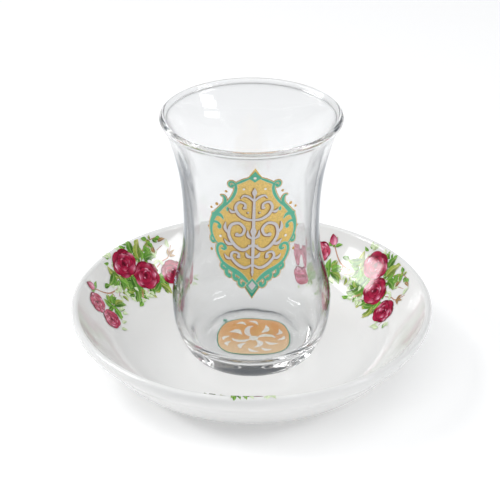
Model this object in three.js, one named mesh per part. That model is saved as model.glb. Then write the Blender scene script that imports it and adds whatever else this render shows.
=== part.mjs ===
// A slim-waisted tea glass standing in its deep porcelain saucer, both empty.
// Millimetres, +Z up. The origin is on the table, at the centre of the saucer's foot ring.
// Both pieces are turned shapes: one closed outline swept round the Z axis.
import * as THREE from "three";

// A knot is a place on an outline: its radius, its height, and how far the wall leans
// out of upright there, in degrees. Smooth curves join each knot to the next.

// Saucer, with heights above the table.
const FOOT_OUTER_RADIUS = 39;
const FOOT_INNER_RADIUS = 36.2;
const FOOT_DRAFT = 0.7; // how much the foot ring widens from its tread to its root
const UNDERSIDE_HEIGHT = 2.2; // underside of the well
const WELL_HEIGHT = 4.9; // flat bottom of the well
const RIM_HEIGHT = 23.8;
const RIM_RADIUS = 62.4;
const RIM_ROUNDING = 1.3;
const RIM_LEAN = 32; // lean of the inside wall where it meets the rounded rim
const SAUCER_OUTSIDE = [
  { radius: FOOT_OUTER_RADIUS + FOOT_DRAFT, height: UNDERSIDE_HEIGHT, lean: 90 },
  { radius: 48.2, height: 4.7, lean: 50 }, // heel
  { radius: 57.3, height: 14.6, lean: 39.5 }, // straight sloping wall
  { radius: 62.3, height: 21.3, lean: 16 }, // foot of the rim's nearly upright band
  { radius: RIM_RADIUS, height: RIM_HEIGHT - RIM_ROUNDING, lean: 0 },
];
const SAUCER_INSIDE = [
  { radius: 55.2, height: 16.5, lean: 39.5 }, // straight sloping wall
  { radius: 49.6, height: 10, lean: 45 },
  { radius: 38, height: WELL_HEIGHT, lean: 90 }, // edge of the flat bottom
];

// Glass, with heights above its own base.
const BEAD_HEIGHT = 88.35; // centre of the rounded, fire-polished rim
const BEAD_RADIUS = 1.15;
const MOUTH_RADIUS = 29.15; // to the centre of the rim
const HOLLOW_RADIUS = 17.6; // shallow hollow under the base
const HOLLOW_DEPTH = 0.8;
const HOLLOW_DRAFT = 1.4;
const BOTTOM_HEIGHT = 6; // flat bottom of the inside
const GLASS_OUTSIDE = [
  { radius: 19.4, height: 0, lean: 84 }, // edge of the flat that it stands on
  { radius: 24.5, height: 5.8, lean: 27.5 }, // heel
  { radius: 27.35, height: 21, lean: 0 }, // belly
  { radius: 24.65, height: 34.5, lean: -13 },
  { radius: 23, height: 50.5, lean: 0 }, // waist
  { radius: 24.6, height: 70.5, lean: 10.5 },
];
const GLASS_INSIDE = [
  { radius: 22.65, height: 70.5, lean: 10.5 },
  { radius: 21, height: 50.5, lean: 0 },
  { radius: 22.5, height: 35, lean: -13 },
  { radius: 24.95, height: 20.5, lean: 0 },
  { radius: 24, height: 12, lean: 14 },
  { radius: 21.6, height: 7.6, lean: 45 }, // rounded corner of the flat bottom
  { radius: 17, height: BOTTOM_HEIGHT, lean: 90 },
];
// Where the rim bead meets the wall outside and inside, in degrees round the bead from
// straight outwards, and the lean of the wall there.
const BEAD_START = -78;
const BEAD_END = 190;
const MOUTH_LEAN = 22.8;

const REST_GAP = 0.1; // between the glass's base and the well

// Smoothness of the solids.
const GLASS_SIDES = 64;
const SAUCER_SIDES = 72;
const CURVE_STEPS = 3;
const BEAD_STEPS = 7;
const HANDLE = 1 / 3; // share of a curve's chord that each of its handles takes

const point = (radius, height) => new THREE.Vector2(radius, height);

// The handle of a knot: a step along its wall, in the direction that the outline runs.
function handle(knot, chord) {
  const lean = THREE.MathUtils.degToRad(knot.lean);
  const wall = point(Math.sin(lean), Math.cos(lean));
  const way = Math.sign(wall.dot(chord));
  return wall.multiplyScalar(way * HANDLE * chord.length());
}

// Joins each knot to the next by a cubic curve.
function outlineThrough(knots) {
  const places = knots.map((knot) => point(knot.radius, knot.height));
  const outline = [places[0]];
  for (let i = 1; i < knots.length; i++) {
    const [from, to] = [places[i - 1], places[i]];
    const chord = to.clone().sub(from);
    const span = new THREE.CubicBezierCurve(
      from,
      from.clone().add(handle(knots[i - 1], chord)),
      to.clone().sub(handle(knots[i], chord)),
      to,
    );
    outline.push(...span.getPoints(CURVE_STEPS).slice(1));
  }
  return outline;
}

// Points round a circle, from one angle to another in degrees.
function arc(radius, height, rounding, fromAngle, toAngle) {
  return Array.from({ length: BEAD_STEPS + 1 }, (_, i) => {
    const angle = THREE.MathUtils.degToRad(
      THREE.MathUtils.lerp(fromAngle, toAngle, i / BEAD_STEPS),
    );
    return point(radius + rounding * Math.cos(angle), height + rounding * Math.sin(angle));
  });
}

const knotAt = (place, lean) => ({ radius: place.x, height: place.y, lean });

function glassOutline() {
  const bead = arc(MOUTH_RADIUS, BEAD_HEIGHT, BEAD_RADIUS, BEAD_START, BEAD_END);
  const beadStart = knotAt(bead[0], MOUTH_LEAN);
  const beadEnd = knotAt(bead[BEAD_STEPS], MOUTH_LEAN);
  return [
    point(0, HOLLOW_DEPTH),
    point(HOLLOW_RADIUS - HOLLOW_DRAFT, HOLLOW_DEPTH),
    point(HOLLOW_RADIUS, 0),
    ...outlineThrough([...GLASS_OUTSIDE, beadStart]),
    ...bead.slice(1, -1),
    ...outlineThrough([beadEnd, ...GLASS_INSIDE]),
    point(0, BOTTOM_HEIGHT),
  ];
}

function saucerOutline() {
  const rimEnd = 180 - RIM_LEAN;
  const rim = arc(RIM_RADIUS - RIM_ROUNDING, RIM_HEIGHT - RIM_ROUNDING, RIM_ROUNDING, 0, rimEnd);
  return [
    point(0, UNDERSIDE_HEIGHT),
    point(FOOT_INNER_RADIUS - FOOT_DRAFT, UNDERSIDE_HEIGHT),
    point(FOOT_INNER_RADIUS, 0),
    point(FOOT_OUTER_RADIUS, 0),
    ...outlineThrough(SAUCER_OUTSIDE),
    ...rim.slice(1, -1),
    ...outlineThrough([knotAt(rim[BEAD_STEPS], RIM_LEAN), ...SAUCER_INSIDE]),
    point(0, WELL_HEIGHT),
  ];
}

// LatheGeometry turns an outline round Y, so the mesh is tipped up to stand on Z.
function turned(name, outline, sides, height, material) {
  const mesh = new THREE.Mesh(new THREE.LatheGeometry(outline, sides), material);
  mesh.name = name;
  mesh.rotation.x = Math.PI / 2;
  mesh.position.z = height;
  return mesh;
}

const porcelain = new THREE.MeshStandardMaterial({
  color: 0xf2f2f1,
  roughness: 0.15,
  metalness: 0,
});
const clearGlass = new THREE.MeshStandardMaterial({
  color: 0xeef3f4,
  roughness: 0.03,
  metalness: 0,
  transparent: true,
  opacity: 0.35,
});

const teaGlassAndSaucer = new THREE.Group();
teaGlassAndSaucer.add(
  turned("saucer", saucerOutline(), SAUCER_SIDES, 0, porcelain),
  turned("tea_glass", glassOutline(), GLASS_SIDES, WELL_HEIGHT + REST_GAP, clearGlass),
);

export default teaGlassAndSaucer;
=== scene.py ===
# %% [markdown]
# # A slim-waisted tea glass in its rose-sprayed saucer
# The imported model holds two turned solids: a clear glass and a white porcelain saucer.
# This script dresses them. It turns finer surfaces for both, prints a medallion on the
# glass and rose sprays on the saucer, and sets up a small white studio around them.

# %% Load the frame
import math

import bpy
import numpy as np
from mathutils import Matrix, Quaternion, Vector


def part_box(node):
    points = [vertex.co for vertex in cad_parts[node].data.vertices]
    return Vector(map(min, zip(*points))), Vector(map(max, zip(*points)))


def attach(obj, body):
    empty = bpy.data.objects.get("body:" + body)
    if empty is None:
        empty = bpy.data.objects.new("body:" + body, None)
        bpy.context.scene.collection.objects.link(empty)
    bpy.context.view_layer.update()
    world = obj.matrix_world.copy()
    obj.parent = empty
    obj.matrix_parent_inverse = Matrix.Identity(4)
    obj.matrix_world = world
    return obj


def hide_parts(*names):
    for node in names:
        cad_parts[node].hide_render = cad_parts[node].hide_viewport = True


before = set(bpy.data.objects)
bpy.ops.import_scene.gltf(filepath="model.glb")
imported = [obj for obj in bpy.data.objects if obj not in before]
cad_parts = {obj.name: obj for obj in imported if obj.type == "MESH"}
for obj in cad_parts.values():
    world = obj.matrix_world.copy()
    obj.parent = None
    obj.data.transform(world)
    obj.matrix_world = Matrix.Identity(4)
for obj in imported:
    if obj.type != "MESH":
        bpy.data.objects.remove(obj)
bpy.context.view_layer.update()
MM = 0.001
SAUCER_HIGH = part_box("saucer")[1]
GLASS_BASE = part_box("tea_glass")[0].z / MM
print("saucer radius", round(SAUCER_HIGH.x / MM, 2), "mm, glass base at", round(GLASS_BASE, 2), "mm")

# %% [markdown]
# ## The camera
# The photograph was taken from a little under 30 degrees above the table with a long
# lens, so the ellipses of the two rims stay nearly parallel. A long lens far away keeps
# that, while a wide one close by would open the rim more than the saucer.

# %% Set up the camera
CAMERA_LENS = 129.6  # mm, on a sensor 36 mm wide
CAMERA_PITCH = math.radians(29.1)
CAMERA_DISTANCE = 0.6152
AIM = Vector((-0.0005, 0.0, 0.0433))

camera = bpy.data.objects.new("camera", bpy.data.cameras.new("camera"))
camera.data.lens = CAMERA_LENS
camera.data.clip_start = 0.01
bpy.context.scene.collection.objects.link(camera)
view_back = Vector((0.0, -math.cos(CAMERA_PITCH), math.sin(CAMERA_PITCH)))
camera.location = AIM + CAMERA_DISTANCE * view_back
camera.rotation_euler = view_back.to_track_quat("Z", "Y").to_euler()
bpy.context.scene.camera = camera
print("camera at", [round(v, 3) for v in camera.location])

# %% [markdown]
# ## The studio
# Glass shows nothing of its own: it shows the room, bent. Its edges look grey because
# they bend the view past the white table to the darker room, and the glass's colour adds
# a painted shade where its wall is seen edge on. So the room is a dark blue grey with a
# low white sweep behind the table, and the light comes from long soft boxes whose mirror
# images lie where the photograph's highlights are: two on the left, two on the right. A
# fifth box overhead only lights the porcelain and the prints. Mirror images and views
# through the glass leave it out, as its image would wash out the glass's heel.

# %% Light the studio
WHITE = (1.0, 1.0, 1.0)
LAMP_DISTANCE = 1.3  # metres from the point that the camera looks at


def softbox(name, azimuth, elevation, wide, high, radiance, roll=0.0, mirrored_too=True):
    """A rectangle of light that faces the glass. Azimuth and elevation, in degrees, say
    where it stands, wide and high, in degrees too, how large it looks from there, and roll
    how far it is turned in its own plane. A rectangle of area A and radiance L gives out a
    power of pi A L."""
    turn, rise = math.radians(azimuth), math.radians(elevation)
    way = Vector((math.cos(turn) * math.cos(rise), math.sin(turn) * math.cos(rise), math.sin(rise)))
    lamp = bpy.data.lights.new(name, "AREA")
    lamp.shape = "RECTANGLE"
    lamp.size = 2 * LAMP_DISTANCE * math.tan(math.radians(wide / 2))
    lamp.size_y = 2 * LAMP_DISTANCE * math.tan(math.radians(high / 2))
    lamp.energy = math.pi * lamp.size * lamp.size_y * radiance
    lamp.color = WHITE
    holder = bpy.data.objects.new(name, lamp)
    holder.location = AIM + LAMP_DISTANCE * way
    faced = way.to_track_quat("Z", "Y") @ Quaternion((0, 0, 1), math.radians(roll))
    holder.rotation_euler = faced.to_euler()
    holder.visible_glossy = mirrored_too
    holder.visible_transmission = mirrored_too
    bpy.context.scene.collection.objects.link(holder)
    return lamp.energy


powers = [
    softbox("softbox_left_low", 175.5, 31, 28, 9, 13.5, roll=25),
    softbox("softbox_left_high", 163, 50, 28, 9, 8.0, roll=12),
    softbox("softbox_right_high", -20, 39, 26, 8, 9.0),
    softbox("softbox_right_low", -27, 10, 20, 9, 6.0),
    softbox("softbox_overhead", -90, 78, 60, 60, 1.82, mirrored_too=False),
]
print("softboxes", len(powers), "total watts", round(sum(powers), 2))

# %% Helpers for node trees
def colour_ramp(tree, stops, source):
    """A colour ramp with the given stops of (position, colour)."""
    node = tree.nodes.new("ShaderNodeValToRGB")
    elements = node.color_ramp.elements
    while len(elements) < len(stops):
        elements.new(0.5)
    for element, (position, colour) in zip(elements, stops):
        element.position = position
        element.color = (*colour, 1.0)
    tree.links.new(source, node.inputs["Fac"])
    return node.outputs["Color"]


def axes(tree, kind):
    """The outputs X, Y and Z of one kind of texture coordinate."""
    place = tree.nodes.new("ShaderNodeTexCoord")
    split = tree.nodes.new("ShaderNodeSeparateXYZ")
    tree.links.new(place.outputs[kind], split.inputs["Vector"])
    return split.outputs


def remap(tree, source, span, interpolation="LINEAR"):
    """A Map Range node. The span is (from, to, value at from, value at to)."""
    node = tree.nodes.new("ShaderNodeMapRange")
    node.interpolation_type = interpolation
    for socket, value in zip(("From Min", "From Max", "To Min", "To Max"), span):
        node.inputs[socket].default_value = value
    tree.links.new(source, node.inputs["Value"])
    return node.outputs["Result"]


# %% Fill the room and its white sweep
ROOM_LOW, ROOM_MID, ROOM_HIGH = (0.30, 0.31, 0.33), (0.06, 0.067, 0.08), (0.10, 0.11, 0.12)
ROOM = [(0.0, ROOM_LOW), (0.12, ROOM_LOW), (0.38, ROOM_MID), (0.95, ROOM_HIGH)]
SWEEP = [(0.0, WHITE), (0.12, WHITE), (0.2, ROOM_MID), (0.95, ROOM_HIGH)]
SWEEP_SPAN = (0.2, 0.6, 0.0, 1.0)  # how the room turns into the sweep, towards the back

world = bpy.data.worlds.new("studio")
bpy.context.scene.world = world
world.use_nodes = True
sky = world.node_tree
direction = axes(sky, "Generated")
walls = sky.nodes.new("ShaderNodeMix")
walls.data_type = "RGBA"
sky.links.new(remap(sky, direction["Y"], SWEEP_SPAN, "SMOOTHSTEP"), walls.inputs["Factor"])
sky.links.new(colour_ramp(sky, ROOM, direction["Z"]), walls.inputs[6])
sky.links.new(colour_ramp(sky, SWEEP, direction["Z"]), walls.inputs[7])
sky.links.new(walls.outputs[2], sky.nodes["Background"].inputs["Color"])
print("room", ROOM_LOW, "at the horizon,", ROOM_HIGH, "overhead, white low behind")

# %% [markdown]
# ## Helpers for surfaces
# Every new piece is a grid of points worked out as one array, and joined by quads. Five
# helpers do all of it: one numbers the quads, one puts the arrays into a mesh, one draws
# a smooth outline through a few knots, one draws arcs, and one turns an outline round the
# axis.


# %% Grids and meshes
def grid_quads(rows, columns, closed=False):
    """Quads of a grid numbered row by row: each joins a point, its right neighbour and
    the two above them. A closed grid also joins its last column to its first."""
    across = np.arange(columns if closed else columns - 1)
    first = np.arange(rows - 1)[:, None] * columns + across
    second = np.arange(rows - 1)[:, None] * columns + (across + 1) % columns
    return np.stack([first, second, second + columns, first + columns], axis=-1).reshape(-1, 4)


def add_mesh(name, points, quads, fans=(), colours=None):
    """Puts arrays into a new mesh object at the origin. Points are in millimetres.
    Fans are triangles. Colours, one for each point, become the attribute Paint."""
    triangles = np.array(fans, np.int32).reshape(-1, 3)
    loops = np.concatenate([quads.ravel(), triangles.ravel()]).astype(np.int32)
    sizes = np.concatenate([np.full(len(quads), 4), np.full(len(triangles), 3)])
    starts = np.concatenate([[0], np.cumsum(sizes)[:-1]]).astype(np.int32)
    mesh = bpy.data.meshes.new(name)
    mesh.vertices.add(len(points))
    mesh.vertices.foreach_set("co", (points * MM).astype(np.float32).ravel())
    mesh.loops.add(len(loops))
    mesh.loops.foreach_set("vertex_index", loops)
    mesh.polygons.add(len(sizes))
    mesh.polygons.foreach_set("loop_start", starts)
    mesh.update(calc_edges=True)
    mesh.validate()
    mesh.polygons.foreach_set("use_smooth", np.ones(len(mesh.polygons), bool))
    if colours is not None:
        paint = mesh.attributes.new("Paint", "FLOAT_COLOR", "POINT")
        opaque = np.concatenate([colours, np.ones((len(colours), 1))], axis=1)
        paint.data.foreach_set("color", opaque.astype(np.float32).ravel())
    piece = bpy.data.objects.new(name, mesh)
    bpy.context.scene.collection.objects.link(piece)
    print(name, len(points), "points,", len(sizes), "faces")
    return piece


# %% Outlines and turned surfaces
def outline_through(knots, steps=14):
    """Cubic curves that join knots of (radius, height, lean). The handle at a knot runs
    along its wall, which leans that many degrees out of upright, for a third of the
    straight way to the next knot."""
    knots = np.array(knots, float)
    start, end = knots[:-1, None, :2], knots[1:, None, :2]
    chord = end - start
    lean = np.radians(knots[:, 2])
    wall = np.stack([np.sin(lean), np.cos(lean)], axis=-1)[:, None]

    def handle(way):
        along = np.sign(np.sum(way * chord, axis=-1, keepdims=True))
        return way * along * np.linalg.norm(chord, axis=-1, keepdims=True) / 3

    t = np.linspace(0, 1, steps, endpoint=False)[None, :, None]
    leaving, arriving = start + handle(wall[:-1]), end - handle(wall[1:])
    curve = (
        (1 - t) ** 3 * start
        + 3 * (1 - t) ** 2 * t * leaving
        + 3 * (1 - t) * t**2 * arriving
        + t**3 * end
    )
    return np.vstack([curve.reshape(-1, 2), knots[-1:, :2]])


def arc(centre, radius, from_angle, to_angle, steps=16):
    """Points round a circle from one angle to another, in degrees."""
    angle = np.radians(np.linspace(from_angle, to_angle, steps + 1))[:, None]
    return np.array(centre) + radius * np.hstack([np.cos(angle), np.sin(angle)])


def turned(name, outline, sides, out_of_round=None):
    """Each outline point (radius, height) goes round the axis as a ring: x is radius times
    sine, y is minus radius times cosine. The first and last points lie on the axis and
    close the surface as poles. Out of round is a function of the rings and the angle that
    says how far each point lies outside its ring."""
    ring = outline[1:-1]
    angle = np.linspace(0, 2 * np.pi, sides, endpoint=False)
    radius = np.repeat(ring[:, :1], sides, axis=1)
    if out_of_round:
        radius = radius + out_of_round(ring, angle)
    rings = np.stack(
        [radius * np.sin(angle), -radius * np.cos(angle), np.repeat(ring[:, 1:], sides, axis=1)],
        axis=-1,
    ).reshape(-1, 3)
    poles = np.array([[0, 0, outline[0, 1]], [0, 0, outline[-1, 1]]])
    first, last = len(rings), len(rings) + 1
    around = np.arange(sides)
    after = (around + 1) % sides
    top = (len(ring) - 1) * sides
    below = np.stack([after, around, np.full(sides, first)], axis=-1)
    above = np.stack([top + around, top + after, np.full(sides, last)], axis=-1)
    quads = grid_quads(len(ring), sides, closed=True)
    return add_mesh(name, np.vstack([rings, poles]), quads, np.vstack([below, above]))


# %% [markdown]
# ## The glass and the saucer
# Both are bodies of revolution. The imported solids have 64 and 72 sides, which is enough
# to hold and weigh them, but glass bends light by the slope of its surface, so every
# facet would show. The same outlines are turned again here, four times as finely, with the
# small roundings that fire polishing and glazing leave at each edge.

# %% Turn the glass
BEAD_CENTRE = (29.15, 88.35)
BEAD_RADIUS = 1.15
BEAD_START, BEAD_END = -78, 190  # degrees round the bead from straight outwards
MOUTH_LEAN = 22.8
HOLLOW_DEPTH = 0.8
BOTTOM_HEIGHT = 6.0
GLASS_OUTSIDE = [
    (19.4, 0, 84),
    (24.5, 5.8, 27.5),
    (27.35, 21, 0),
    (24.65, 34.5, -13),
    (23, 50.5, 0),
    (24.6, 70.5, 10.5),
]
GLASS_INSIDE = [
    (22.65, 70.5, 10.5),
    (21, 50.5, 0),
    (22.5, 35, -13),
    (24.95, 20.5, 0),
    (24.0, 12.0, 14),
    (21.6, 7.6, 45),
    (17, BOTTOM_HEIGHT, 90),
]
UNDER_THE_GLASS = [(5, HOLLOW_DEPTH, 90), (17.6, 0, 100)]
GLASS_SIDES = 256
# The inside wall's waves: height in mm, how many go round, how much they turn for each
# mm of height, and where they start. They fade out below and above these heights.
WALL_WAVES = [(0.07, 7, 0.03, 0.4), (0.045, 13, -0.05, 2.0), (0.015, 29, 0.08, 1.1)]
WAVES_START = (26, 40)
WAVES_END = (81, 91)

bead = arc(BEAD_CENTRE, BEAD_RADIUS, BEAD_START, BEAD_END)
glass_under = outline_through(UNDER_THE_GLASS) + [0, GLASS_BASE]
glass_outer = outline_through([*GLASS_OUTSIDE, (*bead[0], MOUTH_LEAN)]) + [0, GLASS_BASE]
glass_inner = outline_through([(*bead[-1], MOUTH_LEAN), *GLASS_INSIDE]) + [0, GLASS_BASE]
glass_outline = np.vstack(
    [
        [[0, HOLLOW_DEPTH + GLASS_BASE], [2, HOLLOW_DEPTH + GLASS_BASE]],
        glass_under,
        glass_outer,
        bead[1:-1] + [0, GLASS_BASE],
        glass_inner,
        [[7, BOTTOM_HEIGHT + GLASS_BASE], [0, BOTTOM_HEIGHT + GLASS_BASE]],
    ]
)


def uneven_inside(ring, angle):
    """Blown glass is never even: cosine waves run round the inside wall, and their crests
    drift sideways up the wall. The outside is smooth, as the mould made it."""
    height = ring[:, 1:]
    fade = np.clip((height - WAVES_START[0]) / (WAVES_START[1] - WAVES_START[0]), 0, 1)
    fade *= np.clip((WAVES_END[1] - height) / (WAVES_END[1] - WAVES_END[0]), 0, 1)
    inside = np.arange(len(ring))[:, None] >= len(ring) - len(glass_inner) - 1
    swell = sum(
        size * np.cos(count * angle + drift * height + start)
        for size, count, drift, start in WALL_WAVES
    )
    return swell * fade * inside


glass = turned("glass_body", glass_outline, GLASS_SIDES, uneven_inside)

# %% Turn the saucer
UNDERSIDE_HEIGHT = 2.2
WELL_HEIGHT = 4.9
RIM_RADIUS = SAUCER_HIGH.x / MM
RIM_HEIGHT = SAUCER_HIGH.z / MM
RIM_ROUNDING = 1.3
RIM_LEAN = 32  # lean of the inside wall where it meets the rounded rim
FOOT_OUTLINE = [
    (35.3, UNDERSIDE_HEIGHT, 90),
    (36.1, 0.7, 8),
    (37.6, 0, 90),
    (39.1, 0.7, -8),
    (39.9, UNDERSIDE_HEIGHT, 60),
]
SAUCER_OUTSIDE = [
    (40.6, UNDERSIDE_HEIGHT + 0.15, 90),
    (48.2, 4.7, 50),
    (57.3, 14.6, 39.5),
    (62.3, 21.3, 16),
    (RIM_RADIUS, RIM_HEIGHT - RIM_ROUNDING, 0),
]
SAUCER_INSIDE = [
    (55.2, 16.5, 39.5),
    (49.6, 10, 45),
    (38, WELL_HEIGHT, 90),
]
SAUCER_SIDES = 288

RIM_CENTRE = (RIM_RADIUS - RIM_ROUNDING, RIM_HEIGHT - RIM_ROUNDING)
saucer_rim = arc(RIM_CENTRE, RIM_ROUNDING, 0, 180 - RIM_LEAN)
saucer_inner = outline_through([(*saucer_rim[-1], RIM_LEAN), *SAUCER_INSIDE])
saucer_outline = np.vstack(
    [
        [[0, UNDERSIDE_HEIGHT], [18, UNDERSIDE_HEIGHT], [30, UNDERSIDE_HEIGHT]],
        outline_through(FOOT_OUTLINE, 6),
        outline_through(SAUCER_OUTSIDE),
        saucer_rim[1:-1],
        saucer_inner,
        [[25, WELL_HEIGHT], [12, WELL_HEIGHT], [0, WELL_HEIGHT]],
    ]
)
saucer = turned("saucer_body", saucer_outline, SAUCER_SIDES)

# %% [markdown]
# ## Helpers for paint
# The medallion and the roses are enamel prints, each a film on a curved wall. A print
# could be a picture wrapped on the wall, but then its edges blur when the camera comes
# close. Here it is drawn as many small patches on a flat sheet, in millimetres, and a
# placing function bends the whole sheet on to its wall. Each patch lies a hair higher
# than the one before, as layers of paint do.

# %% Curves and patches on the flat sheet
LAYER_STEP = 0.0012  # mm that each patch lies above the one before


def shade(code):
    """A colour written as six hexadecimal digits, as linear light. The screen's curve is
    straight at first and then a power of 2.4."""
    value = np.array([int(code[i : i + 2], 16) for i in (0, 2, 4)]) / 255
    return np.where(value < 0.04045, value / 12.92, ((value + 0.055) / 1.055) ** 2.4)


def smooth_path(points, steps=8):
    """A curve through every point. Each span is a cubic whose slope at a point is half the
    way from the point before to the point after."""
    p = np.array(points, float)
    before = np.vstack([p[:1], p[:-1]])
    after = np.vstack([p[1:], p[-1:]])
    slope = (after - before) / 2
    t = np.linspace(0, 1, steps, endpoint=False)[None, :, None]
    a, b = p[:-1, None], p[1:, None]
    ma, mb = slope[:-1, None], slope[1:, None]
    spans = (
        (2 * t**3 - 3 * t**2 + 1) * a
        + (t**3 - 2 * t**2 + t) * ma
        + (3 * t**2 - 2 * t**3) * b
        + (t**3 - t**2) * mb
    )
    return np.vstack([spans.reshape(-1, p.shape[1]), p[-1:]])


def stroke(points, spread=0.0, across=5):
    """A brush stroke: points are (x, y, half width). Its two edges lie half a width to each
    side of the smooth path, square to it, and rounded caps close its ends. Spread widens
    it, for an outline behind it."""
    path = smooth_path(points)
    way = np.gradient(path[:, :2], axis=0)
    way /= np.linalg.norm(way, axis=1, keepdims=True)
    side = np.stack([-way[:, 1], way[:, 0]], axis=1)
    half = path[:, 2] + spread
    lane = np.linspace(-1, 1, across)
    middle = path[:, None, :2] + (half[:, None] * lane)[..., None] * side[:, None]
    turn = np.radians(np.linspace(80, 8, 5))[:, None, None]
    cap = half[[0, -1], None] * lane
    start = path[0, :2] + cap[0][:, None] * side[0] * np.cos(turn)
    start = start - half[0] * way[0] * np.sin(turn)
    end = path[-1, :2] + cap[1][:, None] * side[-1] * np.cos(turn[::-1])
    end = end + half[-1] * way[-1] * np.sin(turn[::-1])
    return np.concatenate([start, middle, end])


def disc(x, y, radius):
    """A round dot: circles of growing radius about its centre, as a closed grid."""
    radii = np.linspace(0.02, 1, 4)[:, None] * radius
    angle = np.linspace(0, 2 * np.pi, 21)
    return np.stack([x + radii * np.cos(angle), y + radii * np.sin(angle)], axis=-1)


def band_shape(outline, across=31):
    """A field that is symmetric about x = 0: outline is (half width, height), and each row
    of the grid runs from minus to plus the half width at its height."""
    edge = smooth_path(outline, 6)
    lane = np.linspace(-1, 1, across)
    return np.stack([edge[:, :1] * lane, np.repeat(edge[:, 1:], across, axis=1)], axis=-1)


def diamond(x, y, wide, tall, spread=0.0):
    """A shape of four straight sides. Its half width falls off evenly with the distance
    from its middle height."""
    t = np.linspace(-1, 1, 13)[:, None]
    lane = np.linspace(-1, 1, 9)
    half = (wide + spread) * (1 - np.abs(t)) + 0.01
    return np.stack([x + half * lane, y + (tall + spread) * t + 0 * lane], axis=-1)


def blend(a, b, share):
    """From colour a to colour b by a share from 0 to 1 at each point. Either colour may be
    a single one."""
    return a + (b - a) * np.clip(share, 0, 1)[..., None]


def mirrored(strokes):
    """The strokes or dots, and each one again with its x turned about."""
    return [s * np.array([way, 1, 1]) for s in map(np.array, strokes) for way in (1, -1)]


# %% Join patches into one print
def outward(place, grid):
    """Which way the wall faces under a patch: from its middle to a point 1 mm above it."""
    middle = grid[grid.shape[0] // 2, grid.shape[1] // 2][None]
    return (place(middle, np.array([1.0])) - place(middle, np.array([0.0])))[0]


def print_piece(name, patches, place, lift, step=LAYER_STEP):
    """Bends flat patches on to a wall and joins them. A patch is (grid, colour), where the
    colour is one shade or one for each point. Place takes flat points and heights above
    the wall, and gives points in space."""
    points, quads, colours, count = [], [], [], 0
    for layer, (grid, colour) in enumerate(patches):
        rows, columns = grid.shape[:2]
        heights = np.full((rows, columns), lift + layer * step)
        placed = place(grid, heights).reshape(-1, 3)
        faces = grid_quads(rows, columns)
        a, b, c = placed[faces[:, 0]], placed[faces[:, 1]], placed[faces[:, 2]]
        facing = np.cross(b - a, c - b).sum(axis=0) @ outward(place, grid)
        points.append(placed)
        quads.append((faces if facing > 0 else faces[:, ::-1]) + count)
        colours.append(np.broadcast_to(colour, (rows, columns, 3)).reshape(-1, 3))
        count += rows * columns
    return add_mesh(name, np.vstack(points), np.vstack(quads), colours=np.vstack(colours))


# %% The walls that carry prints
def wall_normals(outline):
    """The direction square to a turned wall at each outline point, as (radial, upright)."""
    way = np.gradient(outline, axis=0)
    way /= np.linalg.norm(way, axis=1, keepdims=True)
    return np.stack([way[:, 1], -way[:, 0]], axis=1)


def on_turned_wall(outline, key, values, heights, angle):
    """Points on a turned wall. Key rises along the outline, values say where on it, heights
    how far off it, and angle how far round from the front, towards the right."""
    normal = wall_normals(outline)
    radius = np.interp(values, key, outline[:, 0]) + heights * np.interp(values, key, normal[:, 0])
    level = np.interp(values, key, outline[:, 1]) + heights * np.interp(values, key, normal[:, 1])
    return np.stack([radius * np.sin(angle), -radius * np.cos(angle), level], axis=-1)


MEDALLION_FOOT = 38  # mm above the table, before the rise
MEDALLION_RISE = 1.0
MEDALLION_WIDTH = 0.975
MEDALLION_SHIFT = 0.05
MEDALLION_LEAN = 0.0235  # mm to the right for each mm up


def on_glass_front(grid, heights):
    """A flat point (x, y) is x millimetres round the glass from its front, and y above the
    table. The whole print sits a little high and leans slightly to the right."""
    sideways = MEDALLION_SHIFT + MEDALLION_LEAN * (grid[..., 1] - MEDALLION_FOOT)
    level = grid[..., 1] + MEDALLION_RISE
    radius = np.interp(level, glass_outer[:, 1], glass_outer[:, 0])
    angle = (MEDALLION_WIDTH * grid[..., 0] + sideways) / radius
    return on_turned_wall(glass_outer, glass_outer[:, 1], level, heights, angle)


RIM_START = 30  # degrees round the rim, where the wall that a spray may use begins
RIM_REACH = 3.4  # mm from there to the line that a spray is measured down from
rim_part = arc(RIM_CENTRE, RIM_ROUNDING, RIM_START, 180 - RIM_LEAN)
spray_wall = np.vstack([rim_part[:-1], saucer_inner])
wall_steps = np.linalg.norm(np.diff(spray_wall, axis=0), axis=1)
wall_reach = np.concatenate([[0], np.cumsum(wall_steps)]) - RIM_REACH
SPRAY_RADIUS = 55.0  # the saucer wall's radius at the middle of a spray


def on_saucer_wall(centre, drop):
    """The placing function of a spray whose middle lies at an azimuth, in degrees from +X.
    A flat point (x, y) is x millimetres to the right at the spray's mean radius, and y
    plus the drop millimetres down the wall from the rim."""

    def place(grid, heights):
        turn = math.radians(centre) - grid[..., 0] / SPRAY_RADIUS
        down = grid[..., 1] + drop
        return on_turned_wall(spray_wall, wall_reach, down, heights, turn + math.pi / 2)

    return place


BASE_GAP = 0.1  # mm


def on_base(grid, heights):
    """Flat points a small gap below the domed hollow under the glass's base. Heights rise
    towards the glass."""
    radius = np.linalg.norm(grid, axis=-1)
    level = np.interp(radius, glass_under[:, 0], glass_under[:, 1]) - BASE_GAP + heights
    return np.concatenate([grid, level[..., None]], axis=-1)


print("saucer wall reaches", round(wall_reach[-1], 1), "mm down from the rim")

# %% [markdown]
# ## The medallion
# The glass carries a pointed medallion of gold enamel, framed by turquoise scrolls with a
# gold edge. The frame is drawn as strokes of changing width, each a leaf or a volute, on
# the right half only and mirrored. The field holds a silver vine with leaves and volutes,
# each with a dark gold shadow, as raised enamel throws.

# %% The medallion's frame
GOLD_TOP = shade("e9c878")
GOLD_LOW = shade("dcb961")
GOLD_EDGE = shade("cfa35c")
DARK_GOLD = shade("9a6a34")
TURQUOISE = shade("55b596")
DEEP_TURQUOISE = shade("2f9c80")
CREAM = shade("efe6c4")
SILVER = shade("d3cfd0")
PEARL = shade("f6f3ec")

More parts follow.
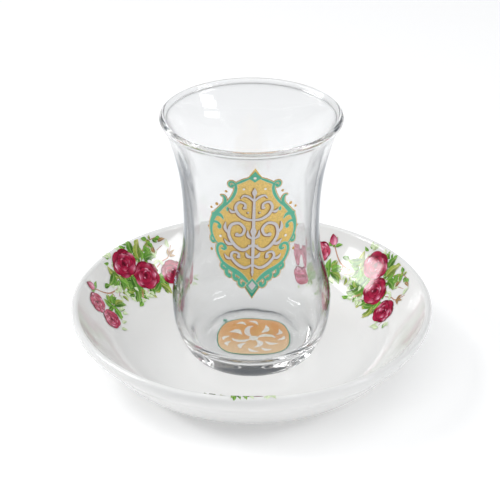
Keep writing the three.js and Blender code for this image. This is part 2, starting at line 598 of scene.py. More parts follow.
FIELD = [
    (0.05, 37.9), (0.6, 39.2), (1.0, 41.4), (2.0, 43.4), (4.6, 45.8), (7.6, 47.6), (10.2, 49.6),
    (11.6, 51.4), (12.3, 53.4), (12.2, 55.2), (12.6, 56.6), (14.0, 58.4), (15.0, 61.2),
    (14.7, 64.2), (13.5, 67.0), (11.6, 69.8), (9.6, 72.0), (7.9, 74.2), (6.8, 76.4), (6.3, 78.8),
    (6.1, 80.8), (4.4, 81.9), (2.6, 83.3), (1.7, 84.6), (0.9, 85.9), (0.05, 87.4),
]
TOP_FINIAL = [(0.05, 81.5), (1.0, 82.4), (2.1, 83.2), (1.2, 84.5), (0.5, 85.4), (0.05, 86.1)]
FRAME_STROKES = [
    [(2.2, 82.9, 0.3), (3.6, 82.2, 0.44), (5.1, 81.3, 0.42), (6.5, 80.4, 0.3)],
    [(6.4, 80.4, 0.3), (7.0, 81.1, 0.36), (7.9, 81.3, 0.38), (8.5, 80.6, 0.38), (8.3, 79.6, 0.36),
     (7.5, 79.3, 0.36), (7.2, 80.0, 0.44)],
    [(6.4, 80.4, 0.42), (6.2, 79.0, 0.48), (6.5, 77.0, 0.52), (7.4, 74.8, 0.5), (8.8, 72.6, 0.4),
     (9.9, 71.2, 0.25)],
    [(11.2, 75.2, 0.16), (10.3, 75.0, 0.38), (9.8, 73.8, 0.52), (10.0, 72.0, 0.62),
     (11.2, 70.2, 0.68), (12.9, 67.9, 0.75), (14.3, 65.2, 0.72), (14.9, 62.4, 0.58),
     (14.8, 60.0, 0.45), (14.0, 58.0, 0.38), (13.0, 56.7, 0.3), (12.4, 56.3, 0.2)],
    [(13.8, 67.0, 0.85), (12.5, 67.5, 0.8), (11.2, 67.1, 0.55), (10.3, 65.9, 0.14)],
    [(14.8, 62.8, 0.35), (13.9, 64.1, 0.42), (12.6, 64.2, 0.46), (11.6, 63.4, 0.5), (11.8, 62.5, 0.66)],
    [(8.9, 70.7, 0.3), (8.8, 70.2, 0.62), (8.9, 69.7, 0.4)],
    [(14.6, 58.9, 0.3), (15.0, 57.6, 0.36), (14.6, 56.6, 0.46), (13.9, 56.5, 0.42)],
    [(10.7, 54.7, 0.34), (9.9, 54.5, 0.42), (9.3, 55.2, 0.44), (9.8, 56.1, 0.44),
     (11.1, 56.4, 0.46), (12.2, 55.4, 0.5), (12.4, 53.6, 0.5), (11.7, 51.6, 0.46),
     (10.4, 49.8, 0.5), (8.4, 48.3, 0.68), (5.8, 47.0, 0.85), (3.6, 45.6, 0.75),
     (1.8, 43.8, 0.5), (0.6, 42.2, 0.35)],
    [(9.6, 49.3, 0.4), (10.5, 48.8, 0.5), (10.6, 47.9, 0.5), (9.9, 47.4, 0.42)],
    [(8.2, 48.3, 0.5), (8.9, 47.0, 0.62), (8.7, 45.7, 0.62), (7.8, 45.1, 0.5)],
    [(6.0, 47.0, 0.5), (6.3, 45.6, 0.55), (5.9, 44.4, 0.55), (5.1, 44.1, 0.44)],
    [(3.2, 45.2, 0.3), (4.3, 44.2, 0.34), (4.4, 42.8, 0.46), (3.5, 42.0, 0.5), (2.7, 42.5, 0.4),
     (2.9, 43.2, 0.28)],
]
FRAME_KNOBS = [
    (7.4, 79.8, 0.5), (11.8, 62.6, 0.72), (13.9, 56.5, 0.5), (9.7, 55.6, 0.62), (9.9, 47.5, 0.62),
    (7.9, 45.2, 0.75), (5.3, 44.3, 0.7), (2.9, 42.9, 0.6),
]
# The foot is a pointed V with two diamonds: x, y, half width, half height.
FOOT_V = (0.0, 41.6, 2.2, 3.4)
FOOT_DIAMOND = (0.0, 42.3, 2.2, 2.5)
FOOT_GEM = (0.0, 42.25, 1.3, 1.65)
TOP_PEARL = (0, 83.4, 0.5)
PEARLS = [(3.5, 78.8, 0.44), (11.2, 59.3, 0.5)]
GOLD_DOTS = [
    (9.5, 77.1, 0.5), (12.8, 71.3, 0.62), (14.9, 69.5, 0.5), (16.0, 61.7, 0.42), (14.7, 53.4, 0.52),
]
# Millimetres that show round what lies on top, and how far each print stands off the glass.
GOLD_RIM, FOOT_GOLD_RIM = 0.42, 0.5
CREAM_RIM, FOOT_CREAM_RIM = 0.13, 0.15
GOLD_LIFT, SCROLL_LIFT, VINE_LIFT = 0.012, 0.09, 0.2

frame_strokes = mirrored(FRAME_STROKES)
dots = mirrored(GOLD_DOTS)
knobs = mirrored(FRAME_KNOBS)
field = band_shape(FIELD)
field_rise = np.clip((field[..., 1] - 45) / 35, 0, 1)
gold_patches = (
    [(stroke(s, GOLD_RIM), GOLD_EDGE) for s in frame_strokes]
    + [(disc(*dot), GOLD_EDGE) for dot in dots]
    + [(diamond(*FOOT_V, FOOT_GOLD_RIM), GOLD_EDGE)]
    + [(field, blend(GOLD_LOW, GOLD_TOP, field_rise))]
)
scroll_patches = (
    [(stroke(s, CREAM_RIM), CREAM) for s in frame_strokes]
    + [(stroke(s), TURQUOISE) for s in frame_strokes]
    + [(disc(*knob), TURQUOISE) for knob in knobs]
    + [(band_shape(TOP_FINIAL, 9), TURQUOISE)]
    + [(diamond(*FOOT_V), DEEP_TURQUOISE), (diamond(*FOOT_DIAMOND, FOOT_CREAM_RIM), CREAM)]
    + [(diamond(*FOOT_DIAMOND), TURQUOISE)]
)
gold_ground = print_piece("medallion_gold", gold_patches, on_glass_front, GOLD_LIFT)
turquoise = print_piece("medallion_scrolls", scroll_patches, on_glass_front, SCROLL_LIFT)

# %% The medallion's vine
VINE_STROKES = [
    [(0.5, 57.0, 0.3), (3.2, 55.2, 0.42), (6.0, 56.6, 0.45), (8.2, 60.2, 0.42), (7.6, 64.0, 0.4),
     (4.9, 65.2, 0.38), (3.0, 63.2, 0.36), (3.8, 60.9, 0.34), (5.6, 60.6, 0.4)],
    [(0.4, 49.6, 0.26), (2.6, 48.6, 0.36), (5.2, 49.8, 0.42), (7.2, 52.2, 0.36), (6.6, 54.0, 0.32),
     (4.9, 53.8, 0.3), (4.6, 52.4, 0.36)],
    [(0.4, 66.6, 0.28), (2.6, 67.0, 0.4), (5.0, 68.6, 0.42), (6.1, 71.2, 0.36), (5.0, 73.4, 0.34),
     (3.1, 72.9, 0.3), (2.9, 71.3, 0.36)],
    [(0.3, 74.2, 0.24), (1.6, 75.6, 0.34), (3.3, 76.2, 0.28), (4.3, 75.2, 0.14)],
    [(8.1, 60.6, 0.18), (9.6, 62.6, 0.44), (9.4, 65.0, 0.12)],
    [(6.4, 57.2, 0.18), (8.4, 57.0, 0.46), (9.8, 58.4, 0.12)],
    [(5.8, 69.6, 0.16), (7.4, 69.4, 0.4), (8.2, 70.4, 0.1)],
    [(6.9, 51.6, 0.16), (8.6, 51.6, 0.4), (9.6, 52.8, 0.1)],
    [(0.4, 52.4, 0.22), (1.7, 52.9, 0.44), (2.3, 54.2, 0.12)],
]
VINE_STALK = [(0, 45.8, 0.16), (0, 50, 0.34), (0, 58, 0.42), (0, 66, 0.4), (0, 73, 0.32), (0, 76.0, 0.2)]
LOTUS_HEART = [(0, 60.4, 0.3), (0, 62.3, 0.75), (0, 64.4, 0.12)]
LOTUS_PETAL = [(0.3, 59.4, 0.16), (1.7, 60.6, 0.4), (1.9, 62.6, 0.08)]
FINIAL_BUD = [(0, 76.0, 0.2), (0, 77.4, 0.62), (0, 79.2, 0.1)]
VINE_BERRIES = [
    (5.4, 60.9, 0.6), (4.9, 52.5, 0.5), (3.2, 71.3, 0.5), (0, 47.0, 0.5), (1.9, 69.5, 0.32),
    (1.4, 56.9, 0.32),
]
SHADOW_SHIFT = np.array([-0.2, -0.18, 0])
SHADOW_RIM = 0.15
VINE_BOLDNESS = np.array([1, 1, 1.3])

vine = [VINE_STALK, LOTUS_HEART, *mirrored([LOTUS_PETAL]), FINIAL_BUD, *mirrored(VINE_STROKES)]
vine = [np.array(s) * VINE_BOLDNESS for s in vine]
berries = sorted({(x * way, y, radius) for x, y, radius in VINE_BERRIES for way in (1, -1)})
shadows = [berry + SHADOW_SHIFT + [0, 0, SHADOW_RIM] for berry in np.array(berries)]
vine_patches = (
    [(stroke(s + SHADOW_SHIFT, SHADOW_RIM), DARK_GOLD) for s in vine]
    + [(disc(*shadow), DARK_GOLD) for shadow in shadows]
    + [(stroke(s), SILVER) for s in vine]
    + [(disc(*berry), SILVER) for berry in berries]
    + [(disc(*dot), PEARL) for dot in [TOP_PEARL, *mirrored(PEARLS)]]
    + [(diamond(*FOOT_GEM), SILVER)]
)
silver = print_piece("medallion_vine", vine_patches, on_glass_front, VINE_LIFT)

# %% [markdown]
# ## The print under the base
# A second, smaller medallion is printed under the glass and shows through the thick
# bottom: an apricot field with soft corners, a turquoise line and white leaves. It lies
# under the domed hollow, on the side that the saucer hides.

# %% The base print
APRICOT = shade("f0b06a")
APRICOT_PALE = shade("efca9c")
BASE_CENTRE = (0.8, -1.1)
BASE_WIDE = 12.9
BASE_DEEP = 10.8
BASE_SQUARENESS = 2.9  # 2 would be an ellipse, and more is squarer
BASE_EAR = (-9.8, 9.0, 0.8)
BASE_HEART = (0, 0, 1.6)
BASE_LIFT = 0.02
BASE_STROKES = [
    [(1.4, 0.8, 0.3), (3.8, 2.3, 1.0), (6.4, 1.8, 0.75), (7.6, 0.2, 0.2)],
    [(8.2, 2.8, 0.2), (9.6, 4.3, 0.8), (9.2, 6.2, 0.2)],
    [(8.6, -1.8, 0.2), (10.4, -0.6, 0.75), (10.8, 1.4, 0.2)],
    [(3.0, 4.2, 0.2), (4.8, 6.0, 0.9), (4.6, 8.4, 0.2)],
]


def base_radius(angle):
    """The print's outline is a superellipse: the shares of its half width and its half
    depth, each raised to the squareness, add up to one."""
    across = np.abs(np.cos(angle) / BASE_WIDE) ** BASE_SQUARENESS
    along = np.abs(np.sin(angle) / BASE_DEEP) ** BASE_SQUARENESS
    return (across + along) ** (-1 / BASE_SQUARENESS)


def turned_stroke(points, angle):
    """A stroke's points, turned about the middle of the sheet."""
    x, y, half = np.array(points, float).T
    cosine, sine = math.cos(angle), math.sin(angle)
    return np.column_stack([cosine * x - sine * y, sine * x + cosine * y, half])


spin = np.linspace(0, 2 * np.pi, 97)
shares = np.linspace(0.001, 1, 16)[:, None]
base_field = shares[..., None] * (base_radius(spin)[:, None] * np.stack([np.cos(spin), np.sin(spin)], -1))
base_edge = np.column_stack([base_field[-1], np.full(len(spin), 0.2)])
base_tone = blend(APRICOT_PALE, APRICOT, 0.5 + 0.07 * base_field[..., 1])
base_vine = [turned_stroke(s, quarter * math.pi / 2) for s in BASE_STROKES for quarter in range(4)]
base_squash = np.array([1, BASE_DEEP / BASE_WIDE])
base_patches = [(disc(*BASE_EAR), DEEP_TURQUOISE)] + [
    (grid + BASE_CENTRE, colour)
    for grid, colour in [
        (base_field, base_tone),
        (stroke(base_edge), DEEP_TURQUOISE),
        *[(stroke(s) * base_squash, PEARL) for s in base_vine],
        (disc(*BASE_HEART), PEARL),
    ]
]
base_print = print_piece("base_print", base_patches, on_base, BASE_LIFT)

# %% [markdown]
# ## The roses
# The saucer's wall carries three sprays of the same transfer: full crimson roses, buds,
# brown stems and green leaves. A rose is painted on one round patch. Petals go on from the
# outside in, each an oval with a pale lip, a crimson face and a dark foot, and each throws
# a thin shadow on what is already there. That is how a china painter builds one up.

# %% Paint a rose
ROSE_DARK = shade("5c0a20")
ROSE_DEEP = shade("80122f")
ROSE_FACE = shade("a82043")
ROSE_PINK = shade("e38aac")
ROSE_LIP = shade("f6d3e0")
PALE_FACE = shade("c45069")


def rose(radius, seed, face, turn):
    """A round patch of flat points and the colour at each. The edge is scalloped by the
    outer petals. Each petal is an oval: the root of the squares of how far a point lies
    from its middle across and along it, over its half sizes, is under one inside."""
    draw = np.random.default_rng(seed)
    angle = np.linspace(0, 2 * np.pi, 109)
    reach = np.linspace(0.004, 1, 34)[:, None]
    edge = 0.9 + 0.1 * np.abs(np.cos(3 * (angle - turn))) ** 0.7 + 0.02 * np.sin(angle * 2 + seed)
    x, y = reach * edge * np.cos(angle), reach * edge * np.sin(angle)
    colour = ROSE_DEEP
    rings = [(6, 0.62, 0.50, 0.42), (5, 0.42, 0.44, 0.36), (4, 0.24, 0.36, 0.30), (3, 0.1, 0.22, 0.2)]
    for level, (count, out, wide, tall) in enumerate(rings):
        for k in range(count):
            way = turn + 2 * np.pi * (k + 0.5 * (level % 2)) / count + draw.normal(0, 0.25)
            size = 1 + draw.normal(0, 0.16)
            along = x * np.cos(way) + y * np.sin(way) - out * (1 + draw.normal(0, 0.12))
            across = (-x * np.sin(way) + y * np.cos(way)) / (wide * size)
            depth = along / (tall * size)
            oval = np.sqrt(depth**2 + across**2) * (1 + 0.06 * np.cos(7 * across + seed))
            fall = np.clip((1.2 - oval) / 0.2, 0, 1) * (oval > 1)
            colour = blend(colour, ROSE_DARK, 0.6 * fall)
            veins = 0.16 * np.cos(26 * across + 4 * depth)
            body = blend(ROSE_DARK, face, 0.6 + 0.9 * depth + veins)
            lit = draw.random() ** 1.1
            patch = np.exp(-(((across - draw.normal(0, 0.4)) / 0.35) ** 2))
            body = blend(body, ROSE_PINK, lit * patch * np.clip(0.3 + depth + veins, 0, 1))
            rim = np.exp(-(((oval - 0.9) / 0.1) ** 2)) * np.clip(depth + 0.3, 0, 1)
            body = blend(body, ROSE_LIP, 0.9 * lit * patch * rim)
            colour = np.where((oval < 1)[..., None], body, colour)
    heart = np.exp(-((np.hypot(x, y) / 0.13) ** 2))
    colour = blend(colour, ROSE_DARK, heart)
    edge_fade = np.clip((reach - 0.93) / 0.07, 0, 1) * np.ones_like(angle)
    colour = blend(colour, ROSE_DEEP, 0.5 * edge_fade)
    return np.stack([x, y], axis=-1) * radius, colour


# %% Paint leaves and buds
STEM_BROWN = shade("b98a70")
# The shaded half of a leaf, its lit half and its midrib.
LEAF_TONES = {
    "dark": ("2a521c", "5c9634", "a8c873"),
    "green": ("437a26", "7cb545", "a8c873"),
    "yellow": ("3c6420", "9db44a", "d8d68e"),
    "pale": ("b9d096", "d3e1bd", "e9efdc"),
    "brown": ("7d5a3a", "a0793c", "d8c4a0"),
}


def leaf(length, width, tone):
    """A leaf along +x: each row crosses it, its half width rising and falling as a sine
    that leans to the foot. The midrib is pale, one half lies in shade, and veins run out
    as ripples along the leaf that slant with the distance from the midrib."""
    dark, mid, light = map(shade, LEAF_TONES[tone])
    t = np.linspace(0, 1, 15)[:, None]
    lane = np.linspace(-1, 1, 9)
    half = 0.5 * width * np.sin(np.pi * t**0.8) * (1 + 0.05 * np.cos(30 * t)) + 0.02
    bend = 0.12 * length * np.sin(np.pi * t)
    grid = np.stack([t * length + 0 * lane, bend + half * lane], axis=-1)
    veins = 0.5 + 0.5 * np.cos(34 * t - 9 * np.abs(lane))
    colour = blend(dark, mid, 0.1 + 0.5 * (lane > 0) + 0.3 * veins)
    colour = blend(colour, light, 0.6 * np.exp(-((lane / 0.16) ** 2)) + 0.8 * t**4 + 0.25 * lane**6)
    return grid, colour


def bud(length):
    """A closed bud along +x: two wrapped petals, pink at the foot and crimson at the tip.
    Its half width is a sine that has already risen some way at the foot."""
    t = np.linspace(0, 1, 13)[:, None]
    lane = np.linspace(-1, 1, 9)
    half = 0.38 * length * np.sin(np.pi * (0.08 + 0.86 * t) ** 0.8)
    grid = np.stack([t * length + 0 * lane, half * lane], axis=-1)
    colour = blend(ROSE_PINK, ROSE_FACE, t + 0.4 * lane)
    colour = blend(colour, ROSE_LIP, 0.8 * np.exp(-(((lane + 0.35) / 0.2) ** 2)) * (1 - t))
    return grid, blend(colour, ROSE_DEEP, 0.9 * t**3 + 0.5 * (np.abs(lane) > 0.8))


def put(patch, x, down, heading=0.0):
    """Turns a patch by a heading, in degrees up from the right, and lays it on the spray's
    sheet. The sheet narrows down the wall, so the patch is stretched to stay true."""
    grid, colour = patch
    cosine, sine = math.cos(math.radians(heading)), math.sin(math.radians(heading))
    right = cosine * grid[..., 0] - sine * grid[..., 1]
    up = sine * grid[..., 0] + cosine * grid[..., 1]
    stretch = SPRAY_RADIUS / np.interp(down - up, wall_reach, spray_wall[:, 0])
    return np.stack([x + right * stretch, down - up], axis=-1), colour


# %% Arrange a spray
# Roses: x, mm down, radius, seed, face and turn. Leaves: x, mm down, length, width, heading
# and tone.
ROSES = [
    (17.3, 14.9, 4.9, 5, ROSE_FACE, 0.5),
    (-26.3, 15.1, 4.1, 21, PALE_FACE, 0.9),
    (-25.7, 7.2, 4.1, 12, PALE_FACE, 0.2),
    (5.4, 12.0, 5.6, 3, ROSE_FACE, 0.4),
    (-1.1, 4.2, 5.7, 8, ROSE_FACE, 1.1),
]
LEAVES = [
    (-2.0, 13.6, 5.4, 2.4, 266, "brown"),
    (-1.2, 9.4, 11.2, 3.5, 248, "dark"),
    (-6.8, 9.2, 3.8, 2.0, 239, "dark"),
    (-6.9, 8.2, 5.0, 2.3, 287, "green"),
    (-6.6, 7.8, 6.9, 2.8, 109, "yellow"),
    (-7.6, 4.8, 6.6, 2.9, 201, "dark"),
    (-5.4, -0.9, 3.1, 1.5, 135, "pale"),
    (-5.6, 0.0, 3.3, 1.7, 68, "pale"),
    (0.5, -0.9, 2.6, 1.3, 129, "pale"),
    (1.9, 0.2, 3.0, 1.6, 98, "green"),
    (4.5, 2.4, 5.3, 2.9, 78, "dark"),
    (8.1, 2.6, 4.2, 2.0, 249, "green"),
    (5.9, 5.6, 7.5, 3.2, 64, "yellow"),
    (7.8, 7.2, 5.4, 2.6, 30, "dark"),
    (8.4, 6.2, 5.0, 2.6, 346, "dark"),
    (10.0, 2.5, 3.0, 1.6, 287, "green"),
    (12.3, -0.5, 2.5, 1.6, 165, "green"),
    (14.3, 0.7, 2.2, 1.7, 306, "dark"),
    (15.4, 0.6, 2.6, 1.8, 330, "green"),
    (12.1, 1.5, 2.6, 1.6, 294, "green"),
    (19.4, 5.5, 3.5, 1.5, 87, "pale"),
    (16.0, 2.2, 3.4, 1.3, 3, "brown"),
    (10.3, 13.4, 4.4, 3.0, 282, "green"),
    (9.4, 16.8, 4.6, 2.4, 205, "dark"),
    (9.6, 17.0, 6.0, 2.6, 285, "yellow"),
    (4.4, 16.6, 4.2, 2.4, 240, "dark"),
    (-8.5, 12.6, 3.2, 1.6, 263, "pale"),
    (-7.5, 15.6, 2.8, 1.4, 278, "pale"),
    (-3.0, 13.6, 2.2, 1.2, 290, "pale"),
    (1.3, 16.6, 3.0, 1.4, 235, "pale"),
    (2.7, 17.9, 2.4, 1.3, 284, "pale"),
    (-4.1, 19.4, 3.1, 1.7, 198, "green"),
    (-4.5, 19.8, 2.4, 1.4, 355, "pale"),
    (0.0, 18.8, 3.2, 1.5, 316, "pale"),
    (-19.6, 13.2, 4.8, 2.3, 105, "green"),
    (-18.7, 12.9, 4.6, 2.2, 36, "green"),
    (-18.7, 13.4, 6.4, 2.8, 328, "dark"),
    (-17.8, 13.5, 5.0, 1.7, 344, "yellow"),
    (-19.5, 13.9, 5.3, 2.6, 246, "green"),
    (-20.0, 13.0, 3.4, 1.7, 170, "dark"),
    (-16.2, 6.6, 3.5, 1.9, 347, "dark"),
    (-10.8, 12.2, 4.1, 2.0, 48, "pale"),
    (-9.4, 9.6, 2.2, 1.2, 28, "green"),
    (-27.6, 20.1, 2.6, 1.5, 305, "pale"),
    (-23.6, 19.6, 2.8, 1.4, 340, "pale"),
    (-21.3, 4.4, 4.4, 1.5, 84, "yellow"),
    (-20.6, 4.0, 3.2, 1.3, 30, "green"),
    (-21.9, 3.9, 2.2, 1.0, 150, "green"),
    (18.4, 8.6, 3.2, 1.0, 74, "brown"),
    (18.6, 8.8, 3.4, 1.0, 34, "brown"),
    (18.4, 8.9, 2.6, 0.9, 350, "brown"),
    (23.8, 19.8, 3.2, 1.7, 201, "pale"),
    (25.2, 18.0, 2.6, 1.4, 97, "pale"),
    (20.6, 19.6, 3.0, 1.6, 260, "pale"),
]
# Clumps of small leaves behind the flowers: x, mm down, spread, how many, and their tones.
CLUMPS = [
    (4.6, 1.2, 2.8, 20, ("dark", "green", "yellow", "green")),
    (8.2, 4.6, 2.9, 22, ("dark", "dark", "green", "green")),
    (9.8, 7.8, 2.6, 14, ("dark", "yellow", "pale", "green")),
    (-5.6, 0.6, 1.8, 8, ("pale", "green")),
    (-6.6, 7.4, 2.2, 16, ("dark", "green", "yellow")),
    (-4.8, 10.6, 2.5, 24, ("yellow", "green", "dark")),
    (-1.6, 12.8, 2.8, 28, ("dark", "yellow", "green")),
    (-3.4, 16.0, 2.6, 18, ("green", "dark", "yellow")),
    (1.8, 16.8, 2.4, 13, ("pale", "green", "yellow")),
    (10.6, 14.8, 2.6, 16, ("dark", "dark", "green")),
    (7.2, 17.8, 2.2, 12, ("dark", "green", "yellow")),
    (9.6, 18.2, 2.0, 9, ("yellow", "dark")),
    (-18.8, 12.4, 2.2, 14, ("dark", "green", "yellow")),
    (-18.6, 15.6, 2.2, 12, ("green", "dark", "pale")),
    (-10.6, 11.0, 2.4, 8, ("pale", "yellow", "brown")),
    (13.4, 1.6, 1.8, 6, ("green", "yellow")),
    (14.2, 6.4, 2.6, 3, ("pale", "brown")),
    (22.0, 17.8, 2.2, 5, ("pale", "green")),
]
BUDS = [(-21.3, 3.4, 4.2, 116)]
STEMS = [
    [(-21.0, 3.8, 0.2), (-18.4, 7.2, 0.24), (-15.4, 9.4, 0.27), (-10.6, 10.2, 0.26), (-6.4, 9.2, 0.22)],
    [(-15.2, 9.4, 0.18), (-14.6, 11.0, 0.18), (-16.4, 12.2, 0.2), (-18.8, 13.0, 0.2)],
    [(-11.0, 10.2, 0.16), (-10.8, 11.6, 0.14), (-12.6, 12.6, 0.12)],
    [(6.6, 6.4, 0.2), (9.4, 2.8, 0.2), (12.4, 0.8, 0.18), (15.8, 0.4, 0.15)],
    [(11.0, 1.8, 0.13), (12.4, 3.2, 0.13), (13.6, 3.4, 0.1)],
    [(11.8, 11.0, 0.2), (15.0, 9.6, 0.2), (18.0, 8.8, 0.2), (20.4, 5.0, 0.13)],
    [(11.4, 5.4, 0.14), (14.0, 5.2, 0.13), (17.2, 4.0, 0.1)],
    [(2.6, 17.0, 0.16), (0.4, 18.8, 0.13), (-3.6, 19.6, 0.1)],
    [(21.4, 17.0, 0.14), (22.4, 19.2, 0.1)],
]
# The azimuth of each spray's middle, in degrees, and how far down it sits, in mm.
SPRAYS = [(143.3, 0.0), (35.0, 1.2), (269.6, 0.0)]
STEM_LIFT = 0.02  # mm above the wall
LEAF_LIFT = 0.032
LEAF_STEP = 0.0006


def clump(x, down, spread, count, tones, draw):
    """Small leaves about a point. Each starts anywhere within the spread and points away
    from the middle, give or take."""
    way = draw.uniform(0, 360, count)
    out = spread * np.sqrt(draw.random(count))
    right, up = out * np.cos(np.radians(way)), out * np.sin(np.radians(way))
    heading = way + draw.normal(0, 35, count)
    long = draw.uniform(1.6, 3.2, count)
    wide = long * draw.uniform(0.38, 0.6, count)
    tone = draw.choice(tones, count)
    return [
        put(leaf(long[k], wide[k], tone[k]), x + right[k], down - up[k], heading[k])
        for k in range(count)
    ]


scatter = np.random.default_rng(14)
stem_patches = [(stroke(points, across=3), STEM_BROWN) for points in STEMS]
leaf_patches = [patch for place in CLUMPS for patch in clump(*place, scatter)]
leaf_patches += [
    put(leaf(long, wide, tone), x, down, heading) for x, down, long, wide, heading, tone in LEAVES
]
bud_patches = [put(bud(long), x, down, heading) for x, down, long, heading in BUDS]
rose_patches = [
    put(rose(size, seed, face, turn), x, down) for x, down, size, seed, face, turn in ROSES
]
rose_lift = LEAF_LIFT + LEAF_STEP * len(leaf_patches)
sprays = []
for number, (centre, drop) in enumerate(SPRAYS, 1):
    place = on_saucer_wall(centre, drop)
    sprays += [
        print_piece(f"spray_{number}_stems", stem_patches, place, STEM_LIFT),
        print_piece(f"spray_{number}_leaves", leaf_patches, place, LEAF_LIFT, LEAF_STEP),
        print_piece(f"spray_{number}_roses", bud_patches + rose_patches, place, rose_lift),
    ]

# %% [markdown]
# ## Finishes
# Porcelain is white clay under a clear glaze: its white is a little uneven, and the glaze
# ripples, so mirror images in it waver. Fired enamel is grainy. Both effects serve several
# materials, so each is a node group with its own values in each.


# %% Shared effects
def maths(tree, operation, *terms):
    """A Math node. Each term is a socket that is linked or a number that is set."""
    node = tree.nodes.new("ShaderNodeMath")
    node.operation = operation
    for socket, term in zip(node.inputs, terms):
        if isinstance(term, float):
            socket.default_value = term
        else:
            tree.links.new(term, socket)
    return node.outputs[0]


def effect(name, detail):
    """A node group whose noise lies in Object coordinates, with Size as its scale. Height
    is the noise, and Tone is one plus Amount times the noise's swing from its middle."""
    group = bpy.data.node_groups.new(name, "ShaderNodeTree")
    for socket, start in (("Size", 10.0), ("Amount", 0.1)):
        made = group.interface.new_socket(socket, in_out="INPUT", socket_type="NodeSocketFloat")
        made.default_value = start
    for socket in ("Height", "Tone"):
        group.interface.new_socket(socket, in_out="OUTPUT", socket_type="NodeSocketFloat")
    source = group.nodes.new("NodeGroupInput")
    result = group.nodes.new("NodeGroupOutput")
    place = group.nodes.new("ShaderNodeTexCoord")
    noise = group.nodes.new("ShaderNodeTexNoise")
    noise.inputs["Detail"].default_value = detail
    group.links.new(place.outputs["Object"], noise.inputs["Vector"])
    group.links.new(source.outputs["Size"], noise.inputs["Scale"])
    swing = maths(group, "SUBTRACT", noise.outputs["Fac"], 0.5)
    tone = maths(group, "MULTIPLY_ADD", swing, source.outputs["Amount"], 1.0)
    group.links.new(noise.outputs["Fac"], result.inputs["Height"])
    group.links.new(tone, result.inputs["Tone"])
    return group


glaze_ripple = effect("glaze ripple", 1.0)
enamel_grain = effect("enamel grain", 3.0)
print("effects", [group.name for group in bpy.data.node_groups])


# %% Materials from the effects
def bare_material(name, **values):
    """A material whose values are constants on its Principled shader's own sockets."""
    material = bpy.data.materials.new(name)
    material.use_nodes = True
    shader = material.node_tree.nodes["Principled BSDF"]
    for socket, value in values.items():
        shader.inputs[socket.replace("_", " ")].default_value = value
    return material, material.node_tree, shader


def place_effect(tree, group, size):
    """Places an effect in a material at its own size."""
    node = tree.nodes.new("ShaderNodeGroup")
    node.node_tree = group
    node.inputs["Size"].default_value = size
    return node


def ripple(tree, effect_node, depth, shader):
    """Makes the effect's Height a bump of a depth in metres."""
    bump = tree.nodes.new("ShaderNodeBump")
    bump.inputs["Distance"].default_value = depth
    tree.links.new(effect_node.outputs["Height"], bump.inputs["Height"])
    tree.links.new(bump.outputs["Normal"], shader.inputs["Normal"])


def finish(name, colour, group, size, amount, depth=0.0, **values):
    """A Principled material. Its colour is one shade, or the attribute Paint where it is
    None, times the effect's Tone."""
    material, tree, shader = bare_material(name, **values)
    effect_node = place_effect(tree, group, size)
    effect_node.inputs["Amount"].default_value = amount
    toned = tree.nodes.new("ShaderNodeVectorMath")
    toned.operation = "SCALE"
    tree.links.new(effect_node.outputs["Tone"], toned.inputs["Scale"])
    if colour is None:
        paint = tree.nodes.new("ShaderNodeAttribute")
        paint.attribute_name = "Paint"
        tree.links.new(paint.outputs["Color"], toned.inputs[0])
    else:
        toned.inputs[0].default_value = colour
    tree.links.new(toned.outputs["Vector"], shader.inputs["Base Color"])
    if depth:
        ripple(tree, effect_node, depth, shader)
    return material


GLAZE = {"Roughness": 0.09, "IOR": 1.5}
PORCELAIN_WHITE = (0.80, 0.80, 0.79)
porcelain = finish("porcelain", PORCELAIN_WHITE, glaze_ripple, size=45, amount=0.05, depth=0.00012,
    **GLAZE)
transfer = finish("rose transfer", None, enamel_grain, size=1100, amount=0.9, **GLAZE)
gold_enamel = finish("gold enamel", None, enamel_grain, size=2300, amount=0.9, depth=0.00002,
    Roughness=0.42, Metallic=0.25)
colour_enamel = finish("colour enamel", None, enamel_grain, size=1500, amount=0.25, depth=0.00001,
    Roughness=0.3, IOR=1.5)
print("finishes", [material.name for material in bpy.data.materials])

# %% [markdown]
# ## Clear glass
# The glass is a Principled shader with full transmission. Light from a lamp would reach
# what stands behind the glass only along rare bent paths, and the render would stay
# grainy. So shadow rays and diffuse rays go straight through a plain transparent shader,
# and only what is seen is bent. The bead of the rim works like a light guide, and a ray
# that has bent or bounced in it many times is let out straight, or it would end black.

# %% The glass material
LAST_BEND = 18.5  # a ray that has turned more often than this goes straight on
GLASS_TINT = (0.9, 0.905, 0.908)
# The colour where the wall is seen edge on is a painted shade, standing in for the dark room that the
# edges bend the view to.
EDGE_PAINTED_SHADE = (0.010, 0.017, 0.028)  # where the wall is seen edge on, through much glass
EDGE_SHADE_STOPS = [(0.5, GLASS_TINT), (0.75, EDGE_PAINTED_SHADE)]  # 0 is seen square on, 1 edge on
# The painted edge shade's strength between two heights above the table, in metres. It is
# weaker in the thick heel and at the rim, which look dark by themselves.
HEEL_FADE = (0.010, 0.026, 0.7, 1.0)
RIM_FADE = (0.076, 0.088, 1.0, 0.74)
GLASS_RIPPLE_SIZE = 60
GLASS_RIPPLE_DEPTH = 0.000002  # metres

clear, tree, shader = bare_material("clear glass", Transmission_Weight=1.0, Roughness=0.0, IOR=1.5)
ripple(tree, place_effect(tree, glaze_ripple, GLASS_RIPPLE_SIZE), GLASS_RIPPLE_DEPTH, shader)

# The base colour carries a painted shade: it darkens where the wall is seen edge on.
facing = tree.nodes.new("ShaderNodeLayerWeight")
facing.inputs["Blend"].default_value = 0.5
height = axes(tree, "Object")["Z"]
painted_shade_share = facing.outputs["Facing"]
for span in (HEEL_FADE, RIM_FADE):
    painted_shade_share = maths(tree, "MULTIPLY", painted_shade_share, remap(tree, height, span))
tree.links.new(colour_ramp(tree, EDGE_SHADE_STOPS, painted_shade_share), shader.inputs["Base Color"])

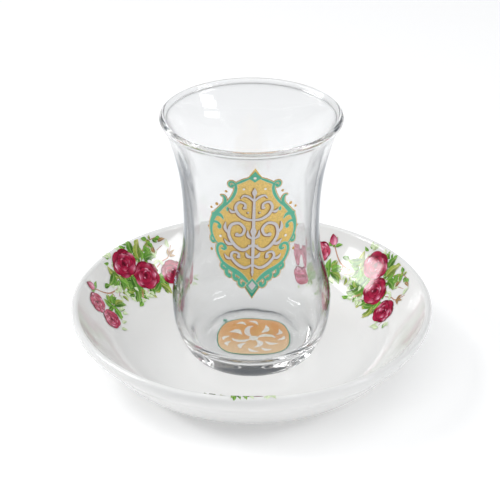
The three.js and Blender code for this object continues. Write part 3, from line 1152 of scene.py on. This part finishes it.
path = tree.nodes.new("ShaderNodeLightPath")
unseen = maths(tree, "MAXIMUM", path.outputs["Is Shadow Ray"], path.outputs["Is Diffuse Ray"])
trapped = maths(tree, "GREATER_THAN", path.outputs["Ray Depth"], LAST_BEND)
through = tree.nodes.new("ShaderNodeBsdfTransparent")
choice = tree.nodes.new("ShaderNodeMixShader")
tree.links.new(maths(tree, "MAXIMUM", unseen, trapped), choice.inputs["Fac"])
tree.links.new(shader.outputs["BSDF"], choice.inputs[1])
tree.links.new(through.outputs["BSDF"], choice.inputs[2])
tree.links.new(choice.outputs["Shader"], tree.nodes["Material Output"].inputs["Surface"])
print("clear glass bends a ray up to", int(LAST_BEND), "times")

# %% Dress the pieces
DRESS = [
    (glass, clear, "glass"),
    (saucer, porcelain, "porcelain"),
    (gold_ground, gold_enamel, "medallion_enamel"),
    (turquoise, colour_enamel, "medallion_enamel"),
    (silver, colour_enamel, "medallion_enamel"),
    (base_print, colour_enamel, "medallion_enamel"),
    *[(spray, transfer, "rose_transfer") for spray in sprays],
]
for piece, material, slot in DRESS:
    piece.data.materials.append(material)
    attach(piece, "root")
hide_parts("tea_glass")
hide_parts("saucer")
print("dressed", len(DRESS), "pieces")

# %% [markdown]
# ## The table
# A wide white floor, matt enough to hide the lamps. It glows a little, as a light table
# does, so the shadows on it stay pale.

# %% Lay the floor
FLOOR_REACH = 4000.0  # mm
FLOOR_GLOW = 0.26
FLOOR_WHITE = (0.82, 0.82, 0.82)
corners = np.array([[-1, -1, 0], [1, -1, 0], [1, 1, 0], [-1, 1, 0]]) * FLOOR_REACH
floor = add_mesh("floor", corners.astype(float), np.array([[0, 1, 2, 3]]))
floor.data.materials.append(finish("white table", FLOOR_WHITE, glaze_ripple, size=3, amount=0.02,
    Roughness=0.7, Emission_Color=(*WHITE, 1.0), Emission_Strength=FLOOR_GLOW))

# %% Render settings that belong to the scene
GLASS_BOUNCES = 28
ALL_BOUNCES = 36
scene = bpy.context.scene
scene.view_settings.view_transform = "Standard"
scene.cycles.caustics_reflective = False
scene.cycles.caustics_refractive = False
scene.cycles.transmission_bounces = GLASS_BOUNCES
scene.cycles.glossy_bounces = GLASS_BOUNCES
scene.cycles.max_bounces = ALL_BOUNCES
print("bounces", GLASS_BOUNCES, "in glass and", ALL_BOUNCES, "in all")
